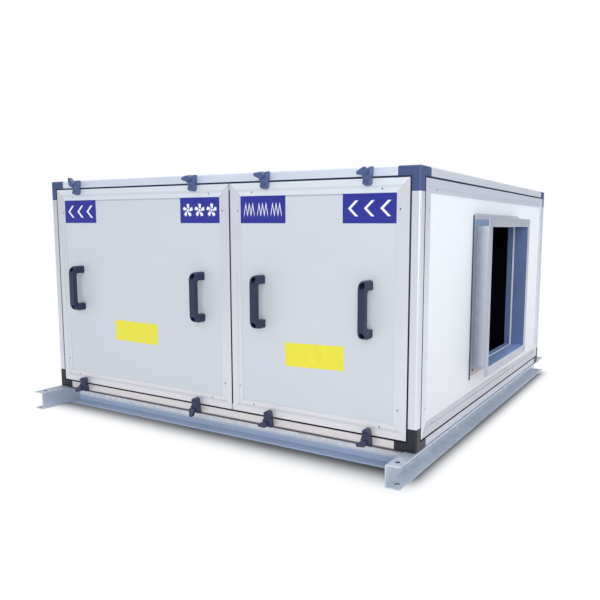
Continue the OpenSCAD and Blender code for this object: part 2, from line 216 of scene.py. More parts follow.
def joint_mask(tree, place):
    """A mask that is 1 on the two edges that face each other in the joint between the doors."""
    across = add(tree, "ShaderNodeSeparateXYZ", [place]).outputs[0]
    edges = (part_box("left_door_border")[1].x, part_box("right_door_border")[0].x)
    left, right = (add(tree, MATH, [across, edge, EDGE_TOLERANCE], operation="COMPARE") for edge in edges)
    return add(tree, MATH, [left, right], operation="MAXIMUM")


def seam_shade_layers(mask):
    """Layers of painted seam shade where a mask is 1, bluer on the casing's upper half and darker on its
    lower half.
    """
    return [(mask, SEAM_SHADE), (both(mask, lower_mask), LOW_SEAM_SHADE)]


# %% Masks of the bars
LOW_BAR_REACH = 0.2
BAR_EDGE = 2 * MM
GROOVE_LEVEL, GROOVE_HALF, GROOVE_SHADE = 20 * MM, 3.5 * MM, 0.15
LIP_HALF = 2 * MM
DOOR_SPANS = [(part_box(n)[0].x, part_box(n)[1].x) for n in ("left_door_border", "right_door_border")]
SHEET_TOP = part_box("left_door_sheet")[1].z
print("doors along X", [[round(x, 3) for x in span] for span in DOOR_SPANS])


# Painted shade: the lower bar of an end's frame is painted darker near the floor.
def low_bar_shade_mask(tree, place):
    """A mask that is 1 on the lower bar of an end's frame, up to its mitres."""
    side = depths(tree, place)[1]
    rise = add(tree, MATH, [from_middle(tree, place)[2], CASING_HALF.z], operation="ADD")
    below = add(tree, MATH, [rise, side], operation="LESS_THAN")
    near = add(tree, MATH, [rise, LOW_BAR_REACH], operation="LESS_THAN")
    return add(tree, MATH, [below, near], operation="MULTIPLY")


def bar_level(tree, place):
    """A node for a point's depth below the upper or above the lower edge of a door's frame."""
    return add(tree, MATH, [depths(tree, place)[2], INSET], operation="SUBTRACT")


def cross_bar_mask(tree, place):
    """A mask that is 1 on the upper and lower bars of a door's frame, up to their mitres."""
    level = bar_level(tree, place)
    across = add(tree, "ShaderNodeSeparateXYZ", [place]).outputs[0]
    sides = []
    for low, high in DOOR_SPANS:
        from_left = add(tree, MATH, [across, low], operation="SUBTRACT")
        from_right = add(tree, MATH, [high, across], operation="SUBTRACT")
        sides.append(add(tree, MATH, [from_left, from_right], operation="MINIMUM"))
    side = add(tree, MATH, sides, operation="MAXIMUM")
    below = add(tree, MATH, [level, side], operation="LESS_THAN")
    inside = add(tree, MATH, [level, -BAR_EDGE], operation="GREATER_THAN")
    return add(tree, MATH, [below, inside], operation="MULTIPLY")


def groove_shade_mask(tree, place):
    """A mask that shades a shallow groove along the upper and lower bars of a door's frame."""
    line = add(tree, MATH, [bar_level(tree, place), GROOVE_LEVEL, GROOVE_HALF], operation="COMPARE")
    shade = add(tree, MATH, [line, GROOVE_SHADE], operation="MULTIPLY")
    return add(tree, MATH, [cross_bar_mask(tree, place), shade], operation="MULTIPLY")


def lip_mask(tree, place):
    """A mask that is 1 in the narrow shade below the upper bar of a door's frame."""
    height = add(tree, "ShaderNodeSeparateXYZ", [place]).outputs[2]
    return add(tree, MATH, [height, SHEET_TOP - LIP_HALF, LIP_HALF], operation="COMPARE")


# %% [markdown]
# ## Anodised aluminium
# The edge profiles are extruded through a die and anodised. The die leaves hair lines along the bar,
# which streak the gloss, and the oxide makes it satin. A wave pattern could draw the lines, but they would
# be too even, so noise that is stretched along the bar gives the streaks. Real lines are about 0.2 mm
# apart; here they are 2 mm so that they show.

# %% Aluminium profiles
def anodised_aluminium(name, colour, bar_axis=None, layers=()):
    material, tree, surface, place = new_material(name, Metallic=0.45)
    fine, coarse = 1 / (2 * MM), 1 / (250 * MM)
    stretch = [coarse if axis == bar_axis else fine for axis in range(3)]
    along = add(tree, "ShaderNodeMapping", {"Vector": place, "Scale": stretch})
    streaks = add(tree, "ShaderNodeTexNoise", {"Vector": along, "Scale": 1.0, "Detail": 2.0})
    clouds = add(tree, "ShaderNodeTexNoise", {"Vector": place, "Scale": coarse, "Detail": 3.0})
    tone = add(tree, "ShaderNodeValToRGB", {"Fac": clouds})
    tone.color_ramp.elements[0].color = linear(colour, 0.90)
    tone.color_ramp.elements[1].color = linear(colour)
    # The inside of the casing is painted dark as painted shade.
    shown = layered(tree, place, tone.outputs[0], [*layers, (inner_shade_mask, INNER_SHADE)])
    gloss = add(tree, "ShaderNodeMapRange", {"Value": streaks, "To Min": 0.34, "To Max": 0.50})
    bump = add(tree, "ShaderNodeBump", {"Height": streaks, "Strength": 0.05, "Distance": 0.2 * MM})
    tree.links.new(shown, surface.inputs["Base Color"])
    tree.links.new(gloss.outputs[0], surface.inputs["Roughness"])
    tree.links.new(bump.outputs[0], surface.inputs["Normal"])
    return material


# Painted seam shade on the walls of the profiles and borders that face a seam.
profile_edges, border_edges = (seam_shade_layers(seam_shade_mask(d)) for d in (PROFILE, INSET))
# Painted shade: the lower length profiles are painted darker and warmer.
dress(anodised_aluminium("anodised_aluminium_length_profiles", "#eaf1fd", 0,
                         [(lower_mask, "#ddd8d8"), *profile_edges]), "length_profiles")
# Painted shade: the lower bar of the depth profiles is painted darker.
dress(anodised_aluminium("anodised_aluminium_depth_profiles", "#e5e8f0", 1,
                         [(low_bar_shade_mask, "#c7c8d5"), *profile_edges]), "depth_profiles")
dress(anodised_aluminium("anodised_aluminium_upright_profiles", "#dde0e8", 2), "upright_profiles")
dress(anodised_aluminium("anodised_aluminium_posts", "#e5e8f0", 2), "front_post", "back_post")
# Painted light and shade: a door's upper bars are painted lighter and its lower bars darker and warmer, with
# the painted shade of a groove along both and painted seam shade.
dress(anodised_aluminium("anodised_aluminium_borders", "#e1e3e8",
                         layers=[(cross_bar_mask, "#eef4fa"), (both(cross_bar_mask, lower_mask), "#e1e0e4"),
                                 (groove_shade_mask, "#8a8f98"), *border_edges, *seam_shade_layers(joint_mask)]),
      "left_door_border", "right_door_border", "back_borders", "top_border", "bottom_border")
# Painted shade: the lower bar of each end's border is painted darker.
dress(anodised_aluminium("anodised_aluminium_end_borders", "#dfe2ec",
                         layers=[(low_bar_shade_mask, "#c5c4cd"), *border_edges]), "inlet_border", "outlet_border")

# %% [markdown]
# ## Coated steel sheet
# The panels are steel skins with a smooth baked coating. Up close it has a faint orange peel of about
# 4 mm. It is far too shallow to model, so fine noise in the bump gives it. Broad, hardly visible wipe
# marks change the gloss. The end sheets are painted darker towards the floor and lighter towards the
# top, as painted shade and light. The inner skin is painted dark as painted shade.

# %% Coated sheets
def coated_steel(name, colour, layers=()):
    material, tree, surface, place = new_material(name, IOR=1.5)
    peel = add(tree, "ShaderNodeTexNoise", {"Vector": place, "Scale": 1 / (4 * MM), "Detail": 1.0})
    wipes = add(tree, "ShaderNodeTexNoise", {"Vector": place, "Scale": 1 / (180 * MM), "Detail": 4.0,
                                             "Distortion": 1.5})
    tone = add(tree, "ShaderNodeValToRGB", {"Fac": wipes})
    tone.color_ramp.elements[0].color = linear(colour, 0.96)
    tone.color_ramp.elements[1].color = linear(colour)
    # The inside of the casing is painted dark as painted shade.
    shown = layered(tree, place, tone.outputs[0], [*layers, (inner_shade_mask, INNER_SHADE)])
    gloss = add(tree, "ShaderNodeMapRange", {"Value": wipes, "To Min": 0.30, "To Max": 0.46})
    bump = add(tree, "ShaderNodeBump", {"Height": peel, "Strength": 0.08, "Distance": 0.15 * MM})
    tree.links.new(shown, surface.inputs["Base Color"])
    tree.links.new(gloss.outputs[0], surface.inputs["Roughness"])
    tree.links.new(bump.outputs[0], surface.inputs["Normal"])
    return material


dress(coated_steel("coated_steel_pale_grey", "#d0d5d9", [(lip_mask, "#b0b6be")]),
      "left_door_sheet", "right_door_sheet", "back_sheets", "top_sheet", "bottom_sheet")
# Painted light and shade: the end sheets grow lighter from the floor to the top.
dress(coated_steel("coated_steel_white", "#dbdcde", [(rise_mask, "#f3f7fa")]), "inlet_sheet", "outlet_sheet")

# %% [markdown]
# ## Moulded nylon and foam rubber
# Corner pieces, handles and latches are moulded in black nylon. The mould is spark-eroded, which leaves a
# fine grain of about half a millimetre. Noise in the bump gives it, drawn at 1.5 mm so that it shows.
# Handling polishes the nylon in patches. The upper corner pieces and latches are painted bluer and
# lighter than the lower ones, as painted light from above. The seals are foam rubber, matt and full of
# pores, which Voronoi cells of 1.2 mm give, and their upper half is painted bluer and their lower half
# darker, as painted light and shade.

# %% Plastics and rubber
def moulded_nylon(name, colour):
    material, tree, surface, place = new_material(name, IOR=1.53)
    grain = add(tree, "ShaderNodeTexNoise", {"Vector": place, "Scale": 1 / (1.5 * MM), "Detail": 2.0})
    rubbed = add(tree, "ShaderNodeTexNoise", {"Vector": place, "Scale": 1 / (30 * MM), "Detail": 3.0})
    tone = add(tree, "ShaderNodeValToRGB", {"Fac": rubbed})
    tone.color_ramp.elements[0].color = linear(colour, 0.8)
    tone.color_ramp.elements[1].color = linear(colour, 1.15)
    gloss = add(tree, "ShaderNodeMapRange", {"Value": rubbed, "To Min": 0.34, "To Max": 0.55})
    bump = add(tree, "ShaderNodeBump", {"Height": grain, "Strength": 0.15, "Distance": 0.15 * MM})
    tree.links.new(tone.outputs[0], surface.inputs["Base Color"])
    tree.links.new(gloss.outputs[0], surface.inputs["Roughness"])
    tree.links.new(bump.outputs[0], surface.inputs["Normal"])
    return material


def foam_rubber(name, colour, layers=()):
    material, tree, surface, place = new_material(name, IOR=1.45, Roughness=0.85)
    pores = add(tree, "ShaderNodeTexVoronoi", {"Vector": place, "Scale": 1 / (1.2 * MM)})
    tone = add(tree, "ShaderNodeValToRGB", {"Fac": pores.outputs["Distance"]})
    tone.color_ramp.elements[0].color = linear(colour, 0.6)
    tone.color_ramp.elements[1].color = linear(colour)
    shown = layered(tree, place, tone.outputs[0], layers)
    bump = add(tree, "ShaderNodeBump", {"Height": pores.outputs["Distance"], "Strength": 0.3,
                                        "Distance": 0.3 * MM})
    tree.links.new(shown, surface.inputs["Base Color"])
    tree.links.new(bump.outputs[0], surface.inputs["Normal"])
    return material


LATCHES = ["%s_latch_%d" % (row, i) for row in ("top", "bottom") for i in (1, 2, 3, 4)]
# Painted light and shade: the upper corner pieces are a lit, bluer copy of the dark lower ones.
dress(moulded_nylon("moulded_nylon_top_corners_lit", "#3d4f7a"), "top_corners")
dress(moulded_nylon("moulded_nylon_bottom_corners_shaded", "#0a0f20"), "bottom_corners")
dress(moulded_nylon("moulded_nylon_handles", "#1b2546"), "left_door_handles", "right_door_handles")
# Painted light and shade: the upper latches are a lit, bluer copy of the lower ones.
dress(moulded_nylon("moulded_nylon_top_latches_lit", "#4a5a86"), *LATCHES[:4])
dress(moulded_nylon("moulded_nylon_bottom_latches_shaded", "#313552"), *LATCHES[4:])
# Painted light and shade: the seals' upper half is bluer and lighter, the lower half darker.
dress(foam_rubber("foam_rubber_seal", "#303a58", [(lower_mask, "#1c1b22")]),
      "front_seal", "back_seal", "roof_seals", "end_seals")
dress(foam_rubber("foam_rubber_base", "#66646e"), "base_strips")

# %% [markdown]
# ## Galvanised and zinc plated steel
# Rails, channels and collars are hot-dip galvanised sheet. The zinc freezes in flat crystals about 18 mm
# across, the spangle, and each crystal reflects a little differently. Voronoi cells give the crystals,
# and noise bends their borders, which would be straight otherwise.
# The inside of the collars is painted blue-grey as painted shade, and its bottom wall paler as painted
# light. The collars' base grey is dark, as painted shade on the foot's upright sides and on the walls
# near the foot; the walls grow brighter towards the flange, and the foot towards its rim. Next to the
# duct the foot is painted blue-grey above, as painted shade below the flange, and beige-grey below.
# The flanges are duller on the access side, where they are handled. The rails' inner sides are darker
# too, and the walls of their holes are painted dark as painted shade. The cross channels are painted a
# pale, matt tone without metal gloss, as a painted reflection of the bright floor, and their lower half
# blue-grey as painted shade. Screws and studs are zinc plated: brighter and without spangle.

# %% Masks of the collars
COLLAR_LOW, COLLAR_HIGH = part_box("inlet_collar")
FOOT_WIDTH = 39 * MM
FOOT = (COLLAR_HIGH.z - COLLAR_LOW.z) / 2
DUCT = FOOT - FOOT_WIDTH
WALL_TOLERANCE, FLOOR_TOLERANCE = 0.5 * MM, 1 * MM
WALL_SHADED, WALL_LIT = 7 * MM, 37 * MM
print("half the collar's foot and duct", round(FOOT, 4), round(DUCT, 4))


def duct_mask(tree, place):
    """A mask that is 1 on the inner walls of the collars."""
    _, across, up = (add(tree, MATH, [way], operation="ABSOLUTE") for way in from_middle(tree, place))
    most = add(tree, MATH, [across, up], operation="MAXIMUM")
    return add(tree, MATH, [most, DUCT + WALL_TOLERANCE], operation="LESS_THAN")


def duct_floor_mask(tree, place):
    """A mask that is 1 on the inner bottom wall of the collars."""
    low = add(tree, MATH, [from_middle(tree, place)[2], FLOOR_TOLERANCE - DUCT], operation="LESS_THAN")
    return add(tree, MATH, [low, duct_mask(tree, place)], operation="MULTIPLY")


def wall_mask(tree, place):
    """A mask that grows from 0 to 1 along the collars' walls, from the foot to the flange."""
    out = add(tree, MATH, [from_middle(tree, place)[0]], operation="ABSOLUTE")
    return add(tree, "ShaderNodeMapRange", {"Value": out, "From Min": CASING_HALF.x + WALL_SHADED,
                                            "From Max": CASING_HALF.x + WALL_LIT})


def foot_mask(low, high):
    """A mask that is 1 on the collars' foot between two heights above the casing's middle."""
    def mask(tree, place):
        up = from_middle(tree, place)[2]
        above = add(tree, MATH, [up, low], operation="GREATER_THAN")
        below = add(tree, MATH, [up, high], operation="LESS_THAN")
        return add(tree, MATH, [above, below], operation="MULTIPLY")
    return mask


def near_bar_mask(tree, place):
    """A mask that is 1 on the flanges' upright bars on the access side."""
    return add(tree, MATH, [from_middle(tree, place)[1], -DUCT], operation="LESS_THAN")


# %% Masks of the base
RAIL_LOW, RAIL_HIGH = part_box("right_rail")
HANGER_IN, HANGER_BACK, HANGER_RADIUS = 21.5 * MM, 27 * MM, 6 * MM
HANGER = (RAIL_LOW.x + HANGER_IN, RAIL_HIGH.y - HANGER_BACK, 0)
# The painted shade on the cross channels grows from these heights down to the floor.
SHADE_TOP, SHADE_FULL = 27 * MM, 15 * MM
print("hanger hole at", [round(v, 4) for v in HANGER[:2]])


def hole_shade_mask(tree, place):
    """A mask that is 1 on the walls of the hanger holes near the rails' ends."""
    folded = add(tree, VECTOR_MATH, [place], operation="ABSOLUTE")
    flat = add(tree, VECTOR_MATH, [folded, (1, 1, 0)], operation="MULTIPLY")
    apart = add(tree, VECTOR_MATH, [flat, HANGER], operation="DISTANCE").outputs["Value"]
    return add(tree, MATH, [apart, HANGER_RADIUS + EDGE_TOLERANCE], operation="LESS_THAN")


def web_mask(tree, place):
    """A mask that is 1 on the rails' inner sides."""
    out = add(tree, MATH, [from_middle(tree, place)[0]], operation="ABSOLUTE")
    return add(tree, MATH, [out, RAIL_LOW.x + WALL_TOLERANCE], operation="LESS_THAN")


def low_shade_mask(tree, place):
    """A mask that grows from 0 to 1 down to the floor."""
    height = add(tree, "ShaderNodeSeparateXYZ", [place]).outputs[2]
    return add(tree, "ShaderNodeMapRange", {"Value": height, "From Min": SHADE_TOP, "From Max": SHADE_FULL})


# %% Galvanised and zinc finishes
def galvanised_steel(name, colour, layers=(), metal=0.45):
    material, tree, surface, place = new_material(name, Metallic=metal)
    bent = add(tree, "ShaderNodeTexNoise", {"Vector": place, "Scale": 1 / (30 * MM), "Detail": 3.0})
    swirl = add(tree, VECTOR_MATH, {0: bent.outputs["Color"], "Scale": 12 * MM}, operation="SCALE")
    moved = add(tree, VECTOR_MATH, [place, swirl], operation="ADD")
    spangle = add(tree, "ShaderNodeTexVoronoi", {"Vector": moved, "Scale": 1 / (18 * MM)})
    crystal = add(tree, "ShaderNodeSeparateColor", {0: spangle.outputs["Color"]}).outputs[0]
    tone = add(tree, "ShaderNodeValToRGB", {"Fac": crystal})
    tone.color_ramp.elements[0].color = linear(colour, 0.84)
    tone.color_ramp.elements[1].color = linear(colour)
    shown = layered(tree, place, tone.outputs[0], layers)
    gloss = add(tree, "ShaderNodeMapRange", {"Value": crystal, "To Min": 0.36, "To Max": 0.48})
    bump = add(tree, "ShaderNodeBump", {"Height": bent, "Strength": 0.05, "Distance": 0.5 * MM})
    tree.links.new(shown, surface.inputs["Base Color"])
    tree.links.new(gloss.outputs[0], surface.inputs["Roughness"])
    tree.links.new(bump.outputs[0], surface.inputs["Normal"])
    return material


def zinc_plate(name, colour):
    material, tree, surface, place = new_material(name, Metallic=1.0)
    scuffs = add(tree, "ShaderNodeTexNoise", {"Vector": place, "Scale": 1 / (3 * MM), "Detail": 3.0})
    tone = add(tree, "ShaderNodeValToRGB", {"Fac": scuffs})
    tone.color_ramp.elements[0].color = linear(colour, 0.8)
    tone.color_ramp.elements[1].color = linear(colour)
    gloss = add(tree, "ShaderNodeMapRange", {"Value": scuffs, "To Min": 0.25, "To Max": 0.45})
    tree.links.new(tone.outputs[0], surface.inputs["Base Color"])
    tree.links.new(gloss.outputs[0], surface.inputs["Roughness"])
    return material


# %% Metals of the base, the collars and the fasteners
ZINC = zinc_plate("zinc_plated_steel", "#c9ccd4")
# Painted shade: the walls of the rails' holes are painted dark; the rails' inner sides are darker.
dress(galvanised_steel("galvanised_steel_rails", "#d6dee9",
                       [(web_mask, "#bcc5d6"), (hole_shade_mask, "#23252b")]), "left_rail", "right_rail")
# Painted reflection and shade: the channels are a pale matt tone for the bright floor they reflect, blue-grey
# low down as painted shade.
dress(galvanised_steel("galvanised_steel_channels", "#f4f3f5", [(low_shade_mask, "#aabbd3")], metal=0.0),
      "front_channel", "back_channel")
dress(galvanised_steel("galvanised_steel_flanges", "#bfc3cc", [(near_bar_mask, "#b0b4c0")]),
      "inlet_flange", "outlet_flange")
FOOT_START, UPPER_STEP, LOWER_STEP, FAR = DUCT + 2 * MM, DUCT + 21 * MM, DUCT + 29 * MM, 1.0
# Painted shade and light: the foot's band next to the duct is blue-grey above, as painted shade, and
# beige-grey below; the duct walls are blue-grey as painted shade and the duct floor paler as painted light;
# the outer walls grow paler towards the flange from the darker collar grey, which is painted shade near the
# foot.
collar_layers = [(foot_mask(FOOT_START, UPPER_STEP), "#aabed6"), (foot_mask(UPPER_STEP, FAR), "#dcdee5"),
                 (foot_mask(-LOWER_STEP, -FOOT_START), "#b4adb0"), (foot_mask(-FAR, -LOWER_STEP), "#dad9dc"),
                 (wall_mask, "#d6d8e2"), (duct_mask, "#7186b2"), (duct_floor_mask, "#a0bcea")]
dress(galvanised_steel("galvanised_steel_collars", "#a9afbd", collar_layers), "inlet_collar", "outlet_collar")
dress(galvanised_steel("galvanised_steel_filter", "#565a64"), "filter_frame")
dress(ZINC, "latch_studs")

# %% [markdown]
# ## Filter cloth
# Behind the inlet a pleated filter crosses the air path. Its cloth is a knitted nylon net, painted dark
# navy as painted shade, since it lies inside the casing where no light reaches, so the opening looks
# black. Modelled loops would be far too many, so Voronoi cells give the knit at 3 mm, coarser than the
# real 1 mm so that it shows.

# %% Filter cloth
def nylon_net(name, colour):
    material, tree, surface, place = new_material(name, Roughness=0.9)
    knit = add(tree, "ShaderNodeTexVoronoi", {"Vector": place, "Scale": 1 / (3 * MM)})
    tone = add(tree, "ShaderNodeValToRGB", {"Fac": knit.outputs["Distance"]})
    tone.color_ramp.elements[0].color = linear(colour, 0.5)
    tone.color_ramp.elements[1].color = linear(colour)
    bump = add(tree, "ShaderNodeBump", {"Height": knit.outputs["Distance"], "Strength": 0.4,
                                        "Distance": 1 * MM})
    tree.links.new(tone.outputs[0], surface.inputs["Base Color"])
    tree.links.new(bump.outputs[0], surface.inputs["Normal"])
    return material


dress(nylon_net("nylon_net_filter_shaded", "#171b45"), "filter_cloth")

# %% [markdown]
# ## Where the panels lie
# Small things sit on the panels, so each panel gets a frame of its own: x along its width, y up its
# height and z out of its face, starting from its lower left corner as a person in front of it sees it.
# The frames are read from the boxes of the CAD nodes, so small things follow when those change. The two
# panels at the back lie opposite the doors, so they are the doors' boxes mirrored.

# %% Panel frames
class Panel:
    """A bordered panel: its size and the matrix from its own frame to the part's frame."""

    def __init__(self, low, high, along, up, out):
        axes = [Vector(a) for a in (along, up, out)]
        corners = [[min(low.dot(a), high.dot(a)), max(low.dot(a), high.dot(a))] for a in axes]
        start = sum((a * c[0] for a, c in zip(axes[:2], corners)), axes[2] * corners[2][1])
        self.width, self.height = (c[1] - c[0] for c in corners[:2])
        self.matrix = Matrix.Translation(start) @ Matrix(axes).transposed().to_4x4()


X, Y, Z = (Vector(a) for a in ((1, 0, 0), (0, 1, 0), (0, 0, 1)))
left_door = Panel(*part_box("left_door_border"), X, Z, -Y)
right_door = Panel(*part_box("right_door_border"), X, Z, -Y)
turned = Matrix.Diagonal((1, -1, 1))
panels = [left_door, right_door]
for name in ("left_door_border", "right_door_border"):
    low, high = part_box(name)
    panels.append(Panel(turned @ low, turned @ high, -X, Z, Y))
panels.append(Panel(*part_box("inlet_border"), Y, Z, X))
panels.append(Panel(*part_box("outlet_border"), -Y, Z, -X))
panels.append(Panel(*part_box("top_border"), X, Y, Z))
panels.append(Panel(*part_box("bottom_border"), X, -Y, -Z))
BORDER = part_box("left_door_sheet")[0].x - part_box("left_door_border")[0].x
SHEET_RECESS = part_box("left_door_sheet")[0].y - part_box("left_door_border")[0].y
print("border", round(BORDER / MM, 1), "mm, sheet recess", round(SHEET_RECESS / MM, 1), "mm")

# %% [markdown]
# ## Making small pieces
# Rivets, films and caps are boxes and low round heads. Bmesh operators add each of them in the frame of
# the face that carries it. All of one kind are gathered in one mesh, which rides on the casing, so the
# list of pieces stays short.

# %% Piece helpers
def piece(bm, name, material, body="casing"):
    """Turns a bmesh into a piece that rides on a body."""
    mesh = bpy.data.meshes.new(name)
    bm.to_mesh(mesh)
    bm.free()
    mesh.materials.append(material)
    made = bpy.data.objects.new(name, mesh)
    bpy.context.scene.collection.objects.link(made)
    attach(made, body)
    print(name, len(mesh.polygons), "faces")


def block(bm, matrix, centre, size, turn=0.0):
    """Adds a box in the frame of a matrix."""
    placed = matrix @ Matrix.Translation(centre) @ Matrix.Rotation(turn, 4, "Z")
    bmesh.ops.create_cube(bm, size=1.0, matrix=placed @ Matrix.Diagonal((*size, 1.0)))


def button(bm, matrix, centre, radius, top_radius, depth, segments=16):
    """Adds a low round head that stands on a face."""
    placed = matrix @ Matrix.Translation(Vector(centre) + Vector((0, 0, depth / 2)))
    bmesh.ops.create_cone(bm, cap_ends=True, segments=segments, radius1=radius,
                          radius2=top_radius, depth=depth, matrix=placed)


# %% [markdown]
# ## Mitre joints
# Each panel's edge profile is cut at 45 degrees and joined at the corners. The profile has an outer strip
# and an inner one that lies a little lower. The joint shows as a hair line across both. It could be cut
# into the profile, but the CAD meshes stay as they are, and a thin bar in a darker grey on each strip is
# enough.

# %% Mitre joints
STRIP, STEP = 22 * MM, 1.5 * MM
LINE, LINE_RISE, LINE_START = 0.8 * MM, 0.1 * MM, 0.5 * MM
joints = bmesh.new()
for panel in panels:
    for right, up in ((0, 0), (1, 0), (0, 1), (1, 1)):
        way = Vector((1 - 2 * right, 1 - 2 * up, 0))
        corner = Vector((right * panel.width, up * panel.height, 0))
        for near, far, level in ((LINE_START, STRIP, 0.0), (STRIP, BORDER, -STEP)):
            middle = corner + way * (near + far) / 2 + Vector((0, 0, level))
            size = ((far - near) * math.sqrt(2), LINE, LINE_RISE)
            block(joints, panel.matrix, middle, size, math.atan2(way.y, way.x))
shadow_line, tree, surface, place = new_material("mitre_gap", Roughness=0.7)
dust = add(tree, "ShaderNodeTexNoise", {"Vector": place, "Scale": 1 / (8 * MM), "Detail": 2.0})
tone = add(tree, "ShaderNodeValToRGB", {"Fac": dust})
tone.color_ramp.elements[0].color = linear("#a9acb8")
tone.color_ramp.elements[1].color = linear("#c6c9d3")
tree.links.new(tone.outputs[0], surface.inputs["Base Color"])
piece(joints, "mitre_joints", shadow_line)

# %% [markdown]
# ## Rivets
# Two blind rivets hold the edge profile at each corner of a panel, on its inner strip. A rivet head could
# be spun as a dome, but there are 64 of them, so each is a low cone with a flat top.

# %% Rivets
ALONG, IN = 76 * MM, 26 * MM
RIVET, RIVET_RISE = 2.6 * MM, 1.3 * MM
RIVET_TOP = RIVET * 0.55
rivets = bmesh.new()
for panel in panels:
    for right in (0, 1):
        for up in (0, 1):
            for a, b in ((ALONG, IN), (IN, ALONG)):
                x = panel.width - a if right else a
                y = panel.height - b if up else b
                button(rivets, panel.matrix, (x, y, -STEP), RIVET, RIVET_TOP, RIVET_RISE)
piece(rivets, "border_rivets", zinc_plate("zinc_plated_rivets", "#9a9da8"))

# %% [markdown]
# ## Films on the access panels
# Four blue films mark the sections of the air path and two yellow films lie across the panels. They are
# thin vinyl, smooth with a slight ripple. Each blue film has a plain sign, three times over: air out,
# fan, filter, air in. An image could carry the signs, but plates that are extruded from an outline stay
# sharp from near.

# %% Films
def vinyl(name, colour):
    material, tree, surface, place = new_material(name, IOR=1.5)
    ripple = add(tree, "ShaderNodeTexNoise", {"Vector": place, "Scale": 1 / (25 * MM), "Detail": 2.0})
    tone = add(tree, "ShaderNodeValToRGB", {"Fac": ripple})
    tone.color_ramp.elements[0].color = linear(colour, 0.92)
    tone.color_ramp.elements[1].color = linear(colour, 1.05)
    gloss = add(tree, "ShaderNodeMapRange", {"Value": ripple, "To Min": 0.25, "To Max": 0.45})
    bump = add(tree, "ShaderNodeBump", {"Height": ripple, "Strength": 0.08, "Distance": 0.4 * MM})
    tree.links.new(tone.outputs[0], surface.inputs["Base Color"])
    tree.links.new(gloss.outputs[0], surface.inputs["Roughness"])
    tree.links.new(bump.outputs[0], surface.inputs["Normal"])
    return material


FILM = Vector((153 * MM, 75 * MM, 0.4 * MM))
BLUE, YELLOW, WHITE = (vinyl("vinyl_" + n, c) for n, c in
                       (("blue", "#282c94"), ("yellow", "#ece33a"), ("white", "#f3f4f8")))
film_places = []
for door in (left_door, right_door):
    top = door.height - BORDER - FILM.y / 2
    for x in (BORDER + FILM.x / 2, door.width - BORDER - FILM.x / 2):
        film_places.append(door.matrix @ Matrix.Translation((x, top, -SHEET_RECESS)))
films = bmesh.new()
for where in film_places:
    block(films, where, (0, 0, FILM.z / 2), FILM)
piece(films, "section_films", BLUE)

# %% Signs
SIGN, SIGN_SPACING = 0.2 * MM, 46 * MM
signs = bmesh.new()


def plate(bm, matrix, points, thickness):
    """Adds a flat plate from its outline in millimetres."""
    rim = [bm.verts.new(matrix @ Vector((x * MM, y * MM, 0))) for x, y in points]
    face = bm.faces.new(rim)
    raised = bmesh.ops.extrude_face_region(bm, geom=[face])["geom"]
    up = matrix.to_3x3() @ Vector((0, 0, thickness))
    bmesh.ops.translate(bm, vec=up, verts=[v for v in raised if isinstance(v, bmesh.types.BMVert)])


def chevron(where):
    """An arrow head to the left, the way the air goes."""
    plate(signs, where, [(-15, 0), (6, 20), (15, 20), (-6, 0), (15, -20), (6, -20)], SIGN)


def rotor(where):
    """A fan wheel with five bent blades round a hub."""
    for i in range(5):
        blade = where @ Matrix.Rotation(i * math.tau / 5, 4, "Z")
        plate(signs, blade, [(6, -3), (19, 0), (18, 9), (12, 9), (6, 3)], SIGN)
    plate(signs, where, [(4 * math.cos(t * math.tau / 16), 4 * math.sin(t * math.tau / 16))
                         for t in range(16)], SIGN)


def pleats(where):
    """A zigzag, the pleats of a filter."""
    steps = [(-18 + 6 * i, 15 if i % 2 else -15) for i in range(7)]
    plate(signs, where, [(x, y + 5) for x, y in steps] + [(x, y - 5) for x, y in reversed(steps)], SIGN)


for draw, film in zip((chevron, rotor, pleats, chevron), film_places):
    for x in (-SIGN_SPACING, 0, SIGN_SPACING):
        draw(film @ Matrix.Translation((x, 0, FILM.z)))
bmesh.ops.recalc_face_normals(signs, faces=signs.faces)
piece(signs, "section_signs", WHITE)

# %% Yellow films
STRIP_FILM = Vector((188 * MM, 66 * MM, 0.4 * MM))
strips = bmesh.new()
for door, x, y, slant in ((left_door, 358 * MM, 197 * MM, -0.5), (right_door, 279 * MM, 189 * MM, 2.0)):
    centre = (x, y, -SHEET_RECESS + STRIP_FILM.z / 2)
    block(strips, door.matrix, centre, STRIP_FILM, math.radians(slant))
piece(strips, "yellow_films", YELLOW)

# %% [markdown]
# ## Collars and the panels' joint
# A white sealant bead runs round the inside of each collar where it enters the panel. Rivets hold the
# collar's foot and dark screws its two lower corners, and a dark grey strip runs along both upright
# sides of the foot. The gap between the two panels of a side is closed at both ends by small caps. All
# are boxes and low cones, and a quarter turn round the duct's middle takes them from one side of a
# collar to the next.

